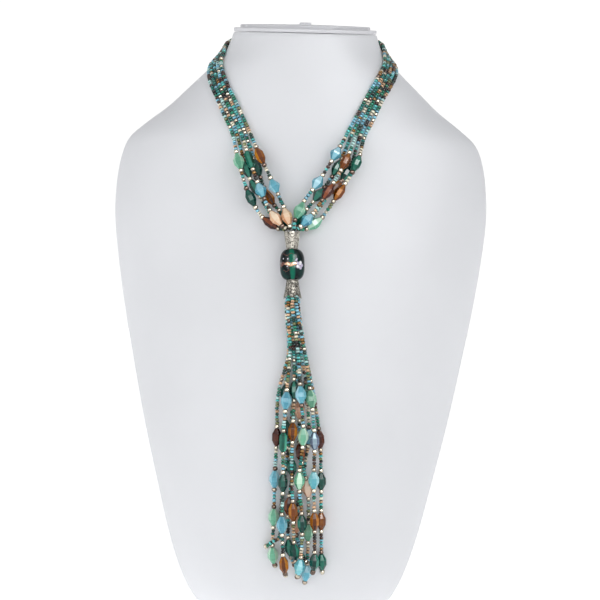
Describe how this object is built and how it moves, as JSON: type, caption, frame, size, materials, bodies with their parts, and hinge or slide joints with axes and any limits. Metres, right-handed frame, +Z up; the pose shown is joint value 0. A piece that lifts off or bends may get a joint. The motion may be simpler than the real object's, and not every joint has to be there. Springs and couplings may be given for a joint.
{
  "type": "beaded necklace on a neck bust",
  "caption": "Strings of glass seed beads with larger beads, a dark glass pendant between silver cones and a long beaded tassel, lying on a plain neck bust.",
  "frame": {"origin": "centre of the bust's base, on the face it stands on", "axes": "+Z up along the neck, -Y towards the front where the tassel lies, +X to the bust's right as seen from the front"},
  "size_m": [0.252, 0.1384, 0.4036],
  "materials": {
    "bust": "smooth satin",
    "cap": "smooth satin",
    "silver": "antiqued silver",
    "seeds": "glossy opaque glass",
    "strand": "glossy opaque glass",
    "pendant_glass": "clear dark green lampwork glass",
    "glass_mint": "pearly pressed glass",
    "glass_peach": "pearly pressed glass",
    "glass_blue": "glossy pressed glass",
    "glass_emerald": "clear pressed glass",
    "glass_pine": "clear dark pressed glass",
    "glass_amber": "clear pressed glass",
    "glass_maroon": "clear dark pressed glass"
  },
  "bodies": {
    "root": {"neck_bust": "bust", "bust_cap": "cap", "clasp": "silver", "string_left_1": "seeds", "string_left_2": "seeds", "string_left_3": "seeds", "string_left_4": "seeds", "string_left_5": "seeds", "string_right_1": "seeds", "string_right_2": "seeds", "string_right_3": "seeds", "string_right_4": "seeds", "string_right_5": "seeds", "bead_left_top_1": "glass_mint", "bead_left_top_2": "glass_pine", "bead_left_top_3": "glass_emerald", "bead_left_top_4": "glass_pine", "bead_left_top_5": "glass_amber", "bead_left_middle_1": "glass_pine", "bead_left_middle_2": "glass_pine", "bead_left_middle_3": "glass_blue", "bead_left_middle_4": "glass_amber", "bead_left_middle_5": "glass_blue", "bead_left_low_1": "glass_maroon", "bead_left_low_3": "glass_peach", "bead_left_low_4": "glass_pine", "bead_left_low_5": "glass_peach", "bead_right_top_1": "glass_emerald", "bead_right_top_2": "glass_pine", "bead_right_top_3": "glass_amber", "bead_right_top_4": "glass_pine", "bead_right_top_5": "glass_blue", "bead_right_middle_1": "glass_amber", "bead_right_middle_2": "glass_amber", "bead_right_middle_3": "glass_maroon", "bead_right_middle_4": "glass_pine", "bead_right_middle_5": "glass_blue", "bead_right_low_1": "glass_mint", "bead_right_low_3": "glass_blue", "bead_right_low_4": "glass_emerald", "bead_right_low_5": "glass_mint", "pendant_bead": "pendant_glass", "upper_cone": "silver", "lower_cone": "silver", "core_pin": "silver", "tassel_strand_1": "strand", "tassel_strand_2": "strand", "tassel_strand_3": "strand", "tassel_strand_4": "strand", "tassel_strand_5": "strand", "tassel_strand_6": "strand", "tassel_strand_7": "strand", "tassel_strand_8": "strand", "tassel_strand_9": "strand", "tassel_strand_10": "strand"}
  },
  "joints": []
}
